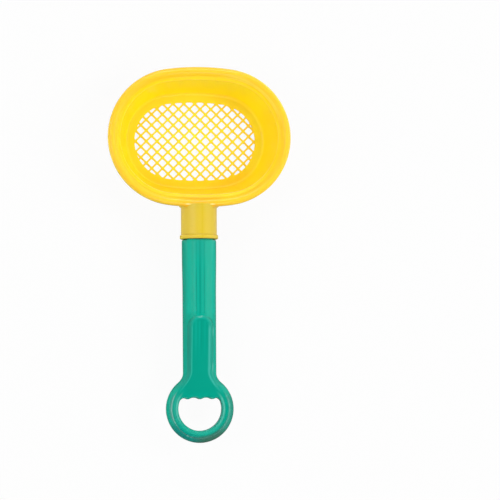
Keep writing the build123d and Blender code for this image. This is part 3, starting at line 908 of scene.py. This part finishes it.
def handle_plastic(g, colours):
    """Glossy green polypropylene with streaks, partly from the moulding and partly painted
    reflection and shade, and with painted highlights and shade along its edges and its ring.

    foot and edge are distances from the foot of the raised panel and from its upper
    edge, both flared out into the ring.
    """
    w = Weave("handle_plastic")
    span, line, product, most, maths = w.span, w.line, w.product, w.most, w.maths
    stripes, hypot = w.stripes, w.hypot
    x, y, _ = w.split(w.place)
    wide = maths("ABSOLUTE", x)
    dy = maths("SUBTRACT", y, (-LENGTH / 2 + g.ring) * MM)
    reach = hypot(x, dy)
    strip = hypot(x, w.beyond(y, Grip.PANEL_TOP - g.tongue))

    def outline(half, disc, flare):
        """Distance from a line round panel and ring: half wide, then flared to a disc."""
        near = [maths("SUBTRACT", strip, half * MM), maths("SUBTRACT", reach, disc * MM)]
        inside = [maths("MAXIMUM", maths("SUBTRACT", flare * MM, d), 0.0) for d in near]
        least = maths("MAXIMUM", maths("MINIMUM", *near), flare * MM)
        return maths("SUBTRACT", least, hypot(*inside))

    edge = outline(g.tongue - Grip.PANEL_ROUND, 16.2, 8.0)
    foot = outline(g.tongue + 0.1, 18.1, 6.0)
    left, right, around = span(x, -1.0, -5.0), span(x, 1.0, 5.0), span(dy, 12.0, 5.0)
    # noise that breaks the streaks up: the streaks are in part from the moulding and in part
    # painted reflection and shade
    moulding_and_sheen = maths("MULTIPLY_ADD", w.noise(70.0, 2.0, (1.0, 0.25, 1.0)), 1.6, -0.2, clamp=True)
    tube = product(span(y, Grip.PANEL_TOP - 1.0, Grip.PANEL_TOP + 1.5), moulding_and_sheen)
    fine_streaks = most(line(x, -0.6, 0.6), line(x, 2.2, 0.55), line(x, -2.8, 0.5))
    on_panel = product(moulding_and_sheen, span(y, -68.0, -48.0), span(y, -40.5, -42.5))
    edges = product(span(y, -42.0, -47.0), span(dy, 9.0, 15.0))
    straight = product(span(y, -41.0, -46.0), span(y, -84.0, -78.0))
    # places along the panel's right foot for painted glints
    glint_dashes = most(line(y, -48.0, 4.5), line(y, -70.4, 4.2))
    left_crest = product(around, span(x, -7.0, -16.0), span(dy, -14.0, -4.0))
    right_crest = product(around, span(x, 7.0, 15.0), span(dy, -18.0, -9.0))
    low = product(around, span(dy, -6.0, -15.0))
    outer = product(low, span(reach, 16.2, 18.3))
    colour = w.coated(colours.green, [
        # painted sheen down the tube's middle near its shoulder
        (line(x, -0.5, 6.0), span(y, -6.0, 4.0), (0.018, 0.335, 0.25)),
        # Streaks along the tube: the broad paler bands on both sides and the darker middle are
        # painted light and shade, and the fine lines are in part from the moulding and in part
        # painted reflection.
        *stripes(tube, x,
                 (-7.0, 3.0, (0.001, 0.445, 0.315)), (-4.0, 1.3, (0.004, 0.43, 0.31)),
                 (-1.8, 1.0, (0.008, 0.385, 0.285)), (0.4, 3.4, (0.006, 0.335, 0.24)),
                 (-2.7, 0.6, (0.003, 0.33, 0.235)), (-0.6, 0.8, (0.004, 0.27, 0.19)),
                 (0.9, 0.8, (0.015, 0.35, 0.255)), (2.2, 0.8, (0.001, 0.29, 0.2)),
                 (8.2, 2.6, (0.003, 0.42, 0.305))),
        # painted shadow in the gap at both sides of the shoulder
        (line(wide, 8.9, 1.5), line(y, 9.3, 0.9), (0.01, 0.07, 0.045)),
        # painted shade on the lower handle: the panel and the ring darker than the tube
        (span(y, -36.0, -41.0), span(foot, 0.4, -0.4), (0.001, 0.29, 0.203)),
        # Painted shade in the crease along the panel's left foot, painted highlights along its
        # upper edges, brighter on the right, and painted glints along its right foot.
        (straight, left, line(foot, -1.4, 1.4), 0.8, (0.008, 0.28, 0.205)),
        (edges, left, line(edge, 0.5, 0.6), (0.025, 0.37, 0.28)),
        (edges, left, line(foot, -0.3, 0.5), 0.8, (0.018, 0.31, 0.23)),
        (edges, right, line(edge, 0.2, 1.2), (0.042, 0.39, 0.31)),
        (edges, right, line(foot, -0.4, 0.5), 0.8, (0.026, 0.36, 0.29)),
        (straight, right, line(foot, -0.4, 0.6), glint_dashes, (0.11, 0.52, 0.43)),
        # the fine streaks darker down the tube's middle: painted shade over the moulding's lines
        (product(fine_streaks, span(y, -2.0, -16.0)), tube, 0.65, (0.001, 0.225, 0.16)),
        *stripes(on_panel, x,
                 (-3.2, 1.1, (0.005, 0.37, 0.27)), (-1.0, 0.8, (0.004, 0.36, 0.265)),
                 (0.4, 0.6, (0.001, 0.24, 0.17)), (2.4, 0.8, (0.003, 0.355, 0.26))),
        # painted shade along the panel's arch, and a painted highlight at its apex
        (span(y, -46.0, -41.5), line(edge, 1.0, 1.6), (0.004, 0.335, 0.245)),
        (line(x, -0.6, 2.0), line(y, -39.4, 0.6), (0.06, 0.4, 0.32)),
        # painted shade on the ring's shoulders beside the panel
        (line(dy, 16.5, 8.0), span(wide, 8.0, 11.0), (0.001, 0.315, 0.225)),
        # painted light on the finger hole's wall
        (span(reach, g.hole + 0.25, g.hole + 0.05), span(dy, 5.5, 3.5), (0.06, 0.48, 0.39)),
        # painted sheen on the ring's face near the bottom of the hole
        (low, line(reach, 15.2, 1.9), (0.018, 0.35, 0.255)),
        # painted shade on the ring's outer band at the bottom, browner on the right
        (outer, (0.003, 0.225, 0.185)),
        (outer, span(x, -7.0, 4.0), (0.036, 0.145, 0.1)),
        # Painted highlights and sheen along the ring's crest on the left, the right and the
        # bottom, painted shade outside the right crest, and a painted highlight along the hole's
        # edge.
        *stripes(left_crest, reach,
                 (18.3, 1.7, (0.05, 0.26, 0.21)), (18.1, 0.45, (0.21, 0.44, 0.38)),
                 (16.3, 0.5, 0.6, (0.045, 0.34, 0.27))),
        (right_crest, span(reach, 18.2, 19.3), (0.012, 0.245, 0.175)),
        *stripes(right_crest, reach,
                 (18.3, 1.2, (0.045, 0.285, 0.215)), (18.2, 0.4, (0.1, 0.35, 0.28))),
        (low, line(reach, 18.4, 0.45), (0.06, 0.2, 0.17)),
        (line(reach, g.hole + 1.2, 1.1), most(left_crest, right_crest), (0.085, 0.42, 0.33)),
    ])
    shade = maths("MULTIPLY_ADD", w.noise(60.0, 2.0, (1.0, 0.5, 1.0)), 0.12, 0.94)
    rough = maths("MULTIPLY_ADD", w.noise(FLECKS, 1.0), 0.05, 0.12)
    return w.moulded(colour, shade, rough, w.noise(70.0, 1.0, (1.0, 0.2, 1.0)), 0.5)


# ---- operators ----

class SIEVE_OT_basin(bpy.types.Operator):
    """Basin: rim bead, ledge, wall and meshed floor, with the handle's socket"""
    bl_idname = "sieve.basin"
    bl_label = "Basin and socket"

    def execute(self, context):
        form = BasinForm(millimetres(context.scene.sieve_basin))
        mat = basin_plastic(form, context.scene.sieve_colours)
        for piece in (basin(form, mat), socket(form, mat)):
            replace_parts(piece, "sieve_head")
        return {"FINISHED"}


class SIEVE_OT_handle(bpy.types.Operator):
    """Handle: spigot, tube with its raised panels, and finger ring"""
    bl_idname = "sieve.handle"
    bl_label = "Handle"

    def execute(self, context):
        g = millimetres(context.scene.sieve_handle)
        mat = handle_plastic(g, context.scene.sieve_colours)
        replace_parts(grip(g, mat), "handle")
        return {"FINISHED"}


# ---- stage ----

PICTURE = 500.0  # width of the picture in pixels
SENSOR = 36.0  # width of the camera's sensor in millimetres
FAR_CLIP = 20.0  # the camera sees this far, in metres
FLOOR_HALF = 3.0  # half the width of the floor in metres
FLOOR_DROP = 0.05 * MM  # how far the floor lies under the object
FLOOR_WHITE = 0.94  # share of the floor that the camera sees as plain white
GREY, DIM = (0.62,) * 3, (0.14,) * 3  # the floor, and as the gloss sees it by the handle
ROOM_DARK = 0.03  # strength of the room where none of its sides is bright
# bright sides of the room: axis, where each starts and is full, and its strength
ROOM = (("X", -0.3, -0.8, 0.2), ("X", 0.4, 0.95, 0.7),
        ("Y", 0.35, 0.8, 0.6), ("Y", -0.6, -0.95, 0.12))
# lamps that the gloss doesn't show: setting, place and size in metres
SOFTBOXES = (("left", (-0.9, 0.1, 0.55), (0.5, 1.0)), ("right", (0.9, 0.1, 0.65), (0.5, 1.0)),
             ("fill_left", (-1.15, 0.0, 1.25), (1.0, 1.0)),
             ("fill_right", (1.15, 0.0, 1.25), (1.0, 1.0)),
             ("fill_back", (0.0, 1.15, 1.25), (1.0, 1.0)),
             ("fill_front", (0.0, -1.15, 1.25), (1.0, 1.0)))
# lamps that only the gloss shows
STRIPS = (("strip_back", (0.0, 1.0, 0.85)), ("strip_front", (0.0, -1.0, 0.85)))
STRIP_SIZE = (0.7, 0.12)


def softbox(name, place, size, power):
    """Soft rectangular lamp that faces the middle of the object."""
    lamp = bpy.data.lights.new(name, "AREA")
    lamp.shape = "RECTANGLE"
    lamp.size, lamp.size_y = size
    lamp.energy = power
    obj = stand(name, lamp)
    obj.location = place
    obj.rotation_euler = (-obj.location).to_track_quat("-Z", "Y").to_euler()
    return obj


def camera(studio):
    """Camera turned from the object's axes to the picture's, and slid across the picture."""
    turn = (Matrix.Rotation(studio.spin, 3, "Z") @ Matrix.Rotation(studio.tilt, 3, "X")
            @ Matrix.Rotation(studio.roll_over, 3, "Y")).transposed()
    cam = bpy.data.cameras.new("camera")
    cam.sensor_width = SENSOR
    cam.lens = studio.pixels_per_metre * studio.distance / PICTURE * SENSOR
    cam.clip_end = FAR_CLIP
    place = turn @ Vector((-studio.slide_x, -studio.slide_y, studio.distance))
    eye = stand("camera", cam)
    eye.matrix_world = Matrix.Translation(place) @ turn.to_4x4()
    return eye


def pale_floor():
    """Level sheet, pale grey for the lamps and nearly white for the camera.

    In the plastic's gloss it is darker under the handle than beside the basin.
    """
    sheet = bpy.data.meshes.new("floor")
    corners = [(x * FLOOR_HALF, y * FLOOR_HALF, -FLOOR_DROP)
               for x, y in ((-1, -1), (1, -1), (1, 1), (-1, 1))]
    sheet.from_pydata(corners, [], [(0, 1, 2, 3)])
    w = Weave("pale_floor")
    matt = w.add("BsdfPrincipled", {"Roughness": 1.0})
    glow = w.add("Emission", {"Color": (1.0, 1.0, 1.0)})
    mirrored = w.add("LightPath").outputs["Is Glossy Ray"]
    _, along, _ = w.split(w.place)
    seen = w.mix(w.span(along, 10.0, 16.0), DIM, GREY)
    w.link(w.mix(mirrored, GREY, seen), matt.inputs["Base Color"])
    share = w.maths("MULTIPLY", w.seen_white(), FLOOR_WHITE)
    mix = w.add("MixShader", {"Fac": share})
    w.link(matt.outputs[0], mix.inputs[1])
    w.link(glow.outputs[0], mix.inputs[2])
    w.link(mix.outputs[0], w.out.inputs["Surface"])
    sheet.materials.append(w.mat)
    return stand("floor", sheet)


def room(studio):
    """World that the plastic mirrors, brighter to the sides, and white for the camera."""
    world = bpy.data.worlds.new("room")
    world.use_nodes = True
    w = Weave("", world.node_tree)
    toward = dict(zip("XYZ", w.split(w.coords["Generated"])))
    level = ROOM_DARK
    for axis, start, end, share in ROOM:
        level = w.maths("MULTIPLY_ADD", w.step(toward[axis], start, end), share, level)
    level = w.maths("MULTIPLY", level, studio.dome)
    level = w.mix(w.seen_white(), level, 1.0, "FLOAT")
    back = w.add("Background", {"Strength": level})
    w.link(back.outputs[0], w.out.inputs["Surface"])
    return world


class SIEVE_OT_studio(bpy.types.Operator):
    """Pale floor, softboxes, white room and the camera"""
    bl_idname = "sieve.studio"
    bl_label = "Studio"

    def execute(self, context):
        scene, studio = context.scene, context.scene.sieve_studio
        scene.camera = camera(studio)
        pale_floor()
        scene.world = room(studio)
        for name, place, size in SOFTBOXES:
            softbox(name, place, size, getattr(studio, name)).visible_glossy = False
        for name, place in STRIPS:
            softbox(name, place, STRIP_SIZE, studio.strips).visible_diffuse = False
        scene.view_settings.view_transform = "Standard"
        return {"FINISHED"}


class SIEVE_PT_panel(bpy.types.Panel):
    """Builds the sand sieve piece by piece"""
    bl_idname = "SIEVE_PT_panel"
    bl_label = "Sand sieve"
    bl_space_type = "VIEW_3D"
    bl_region_type = "UI"
    bl_category = "Sand sieve"

    def draw(self, context):
        for name in SETTINGS:
            group = getattr(context.scene, name)
            box = self.layout.box()
            for field in group.__annotations__:
                box.prop(group, field)
        for operator in OPERATORS:
            self.layout.operator(operator.bl_idname)


SETTINGS = {"sieve_basin": BasinSizes, "sieve_handle": HandleSizes,
            "sieve_colours": SieveColours, "sieve_studio": StudioSettings}
OPERATORS = (SIEVE_OT_basin, SIEVE_OT_handle, SIEVE_OT_studio)
CLASSES = (*SETTINGS.values(), *OPERATORS, SIEVE_PT_panel)


def register():
    for cls in CLASSES:
        bpy.utils.register_class(cls)
    for name, group in SETTINGS.items():
        setattr(bpy.types.Scene, name, bpy.props.PointerProperty(type=group))


def unregister():
    for name in SETTINGS:
        delattr(bpy.types.Scene, name)
    for cls in reversed(CLASSES):
        bpy.utils.unregister_class(cls)


def main():
    register()
    bpy.ops.sieve.basin()
    bpy.ops.sieve.handle()
    bpy.ops.sieve.studio()


if __name__ == "__main__":
    main()
